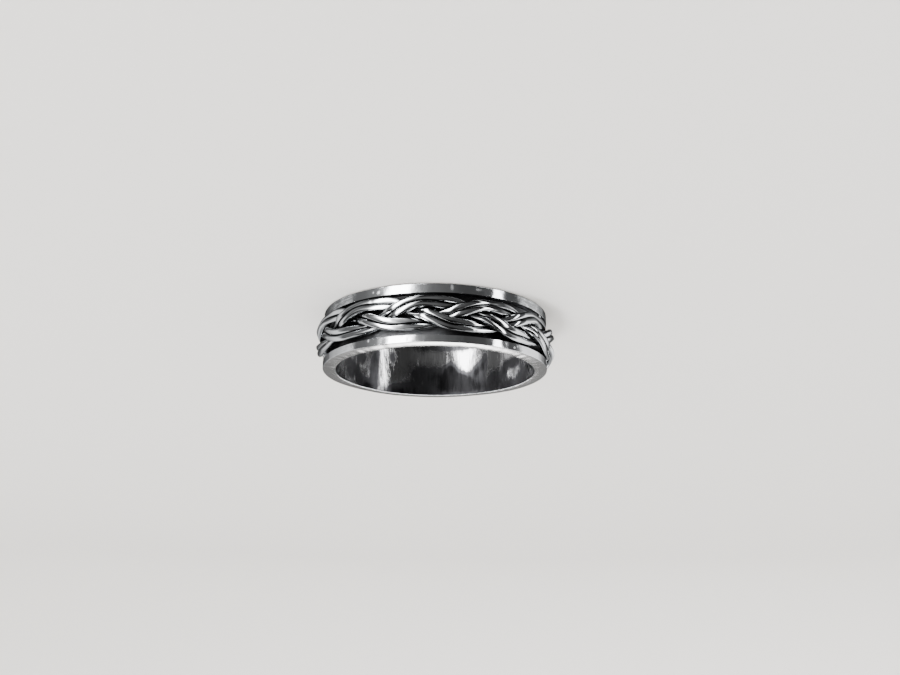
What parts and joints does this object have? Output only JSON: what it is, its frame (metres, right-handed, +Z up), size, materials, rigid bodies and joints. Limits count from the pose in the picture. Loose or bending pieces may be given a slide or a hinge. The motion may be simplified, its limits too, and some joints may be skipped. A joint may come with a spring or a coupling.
{
  "type": "braided band ring",
  "caption": "Finger ring with polished rims and a dark sunken channel that carries a raised plait of doubled wire.",
  "frame": {"origin": "on the ring's axis, at the flat face of the lower rim, which it lies on", "axes": "+Z up along the ring's axis, from the wider rim to the narrower one; -Y is the side that faces the camera"},
  "size_m": [0.023, 0.023, 0.0056],
  "materials": {
    "band_silver": "polished silver with fine scratches, black patina in the channel",
    "plait_silver": "worn polished silver, black patina between the wires"
  },
  "bodies": {
    "root": {"band": "band_silver", "strand_1_upper_wire": "plait_silver", "strand_1_lower_wire": "plait_silver", "strand_2_upper_wire": "plait_silver", "strand_2_lower_wire": "plait_silver", "strand_3_upper_wire": "plait_silver", "strand_3_lower_wire": "plait_silver"}
  },
  "joints": []
}
